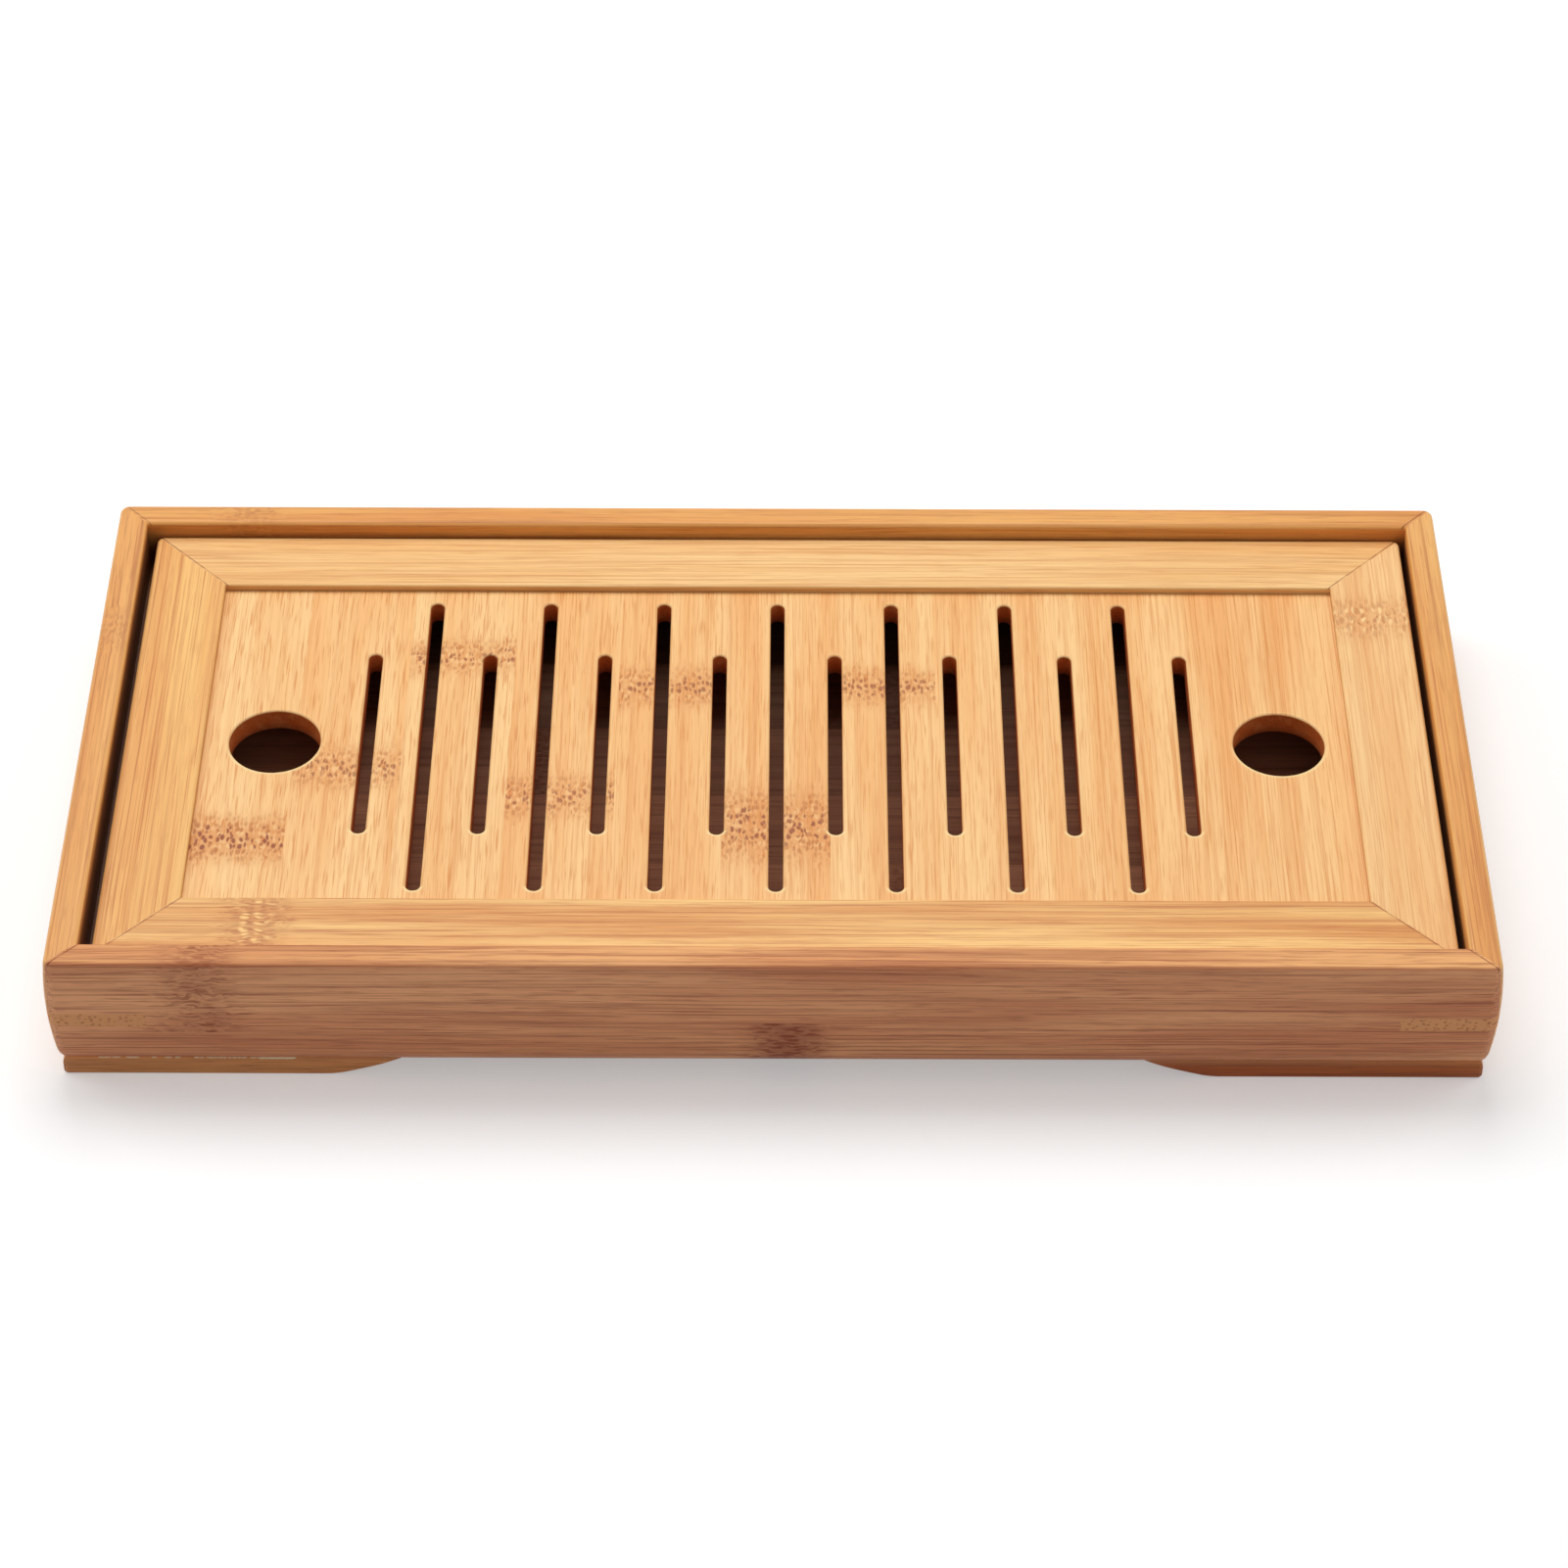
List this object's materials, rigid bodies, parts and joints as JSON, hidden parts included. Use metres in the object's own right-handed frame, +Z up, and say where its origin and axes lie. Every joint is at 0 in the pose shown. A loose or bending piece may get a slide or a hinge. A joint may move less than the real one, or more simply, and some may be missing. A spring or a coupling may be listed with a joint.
{
  "type": "gongfu tea tray",
  "caption": "Small bamboo gongfu tea tray: a moulded rim on bracket feet, a shallow water basin and a lift-off slatted lid with finger holes.",
  "frame": {"origin": "middle of the tray on the surface it stands on", "axes": "+X along the tray to the right, +Y to the back, +Z up through the lid"},
  "size_m": [0.2716, 0.1356, 0.03],
  "materials": {
    "rim_bamboo": "satin lacquer",
    "spline_bamboo": "satin lacquer, end grain",
    "floor_bamboo": "satin lacquer",
    "foot_bamboo": "satin lacquer",
    "lid_rail_bamboo": "satin lacquer",
    "panel_bamboo": "satin lacquer"
  },
  "bodies": {
    "tray": {"rim_rail_front": "rim_bamboo", "rim_rail_right": "rim_bamboo", "rim_rail_back": "rim_bamboo", "rim_rail_left": "rim_bamboo", "corner_key_front_left": "spline_bamboo", "corner_key_front_right": "spline_bamboo", "corner_key_back_left": "spline_bamboo", "corner_key_back_right": "spline_bamboo", "floor_strip_1": "floor_bamboo", "floor_strip_2": "floor_bamboo", "floor_strip_3": "floor_bamboo", "floor_strip_4": "floor_bamboo", "floor_strip_5": "floor_bamboo", "floor_strip_6": "floor_bamboo", "foot_front_left_long": "foot_bamboo", "foot_front_left_short": "foot_bamboo", "foot_front_right_long": "foot_bamboo", "foot_front_right_short": "foot_bamboo", "foot_back_left_long": "foot_bamboo", "foot_back_left_short": "foot_bamboo", "foot_back_right_long": "foot_bamboo", "foot_back_right_short": "foot_bamboo"},
    "lid": {"lid_rail_front": "lid_rail_bamboo", "lid_rail_right": "lid_rail_bamboo", "lid_rail_back": "lid_rail_bamboo", "lid_rail_left": "lid_rail_bamboo", "lid_strip_01": "panel_bamboo", "lid_strip_02": "panel_bamboo", "lid_strip_03": "panel_bamboo", "lid_strip_04": "panel_bamboo", "lid_strip_05": "panel_bamboo", "lid_strip_06": "panel_bamboo", "lid_strip_07": "panel_bamboo", "lid_strip_08": "panel_bamboo", "lid_strip_09": "panel_bamboo", "lid_strip_10": "panel_bamboo", "lid_strip_11": "panel_bamboo"}
  },
  "joints": [
    {"name": "lid_lift", "type": "slide", "parent": "tray", "child": "lid", "axis": [0, 0, 1], "range_m": [0, 0.05]}
  ]
}
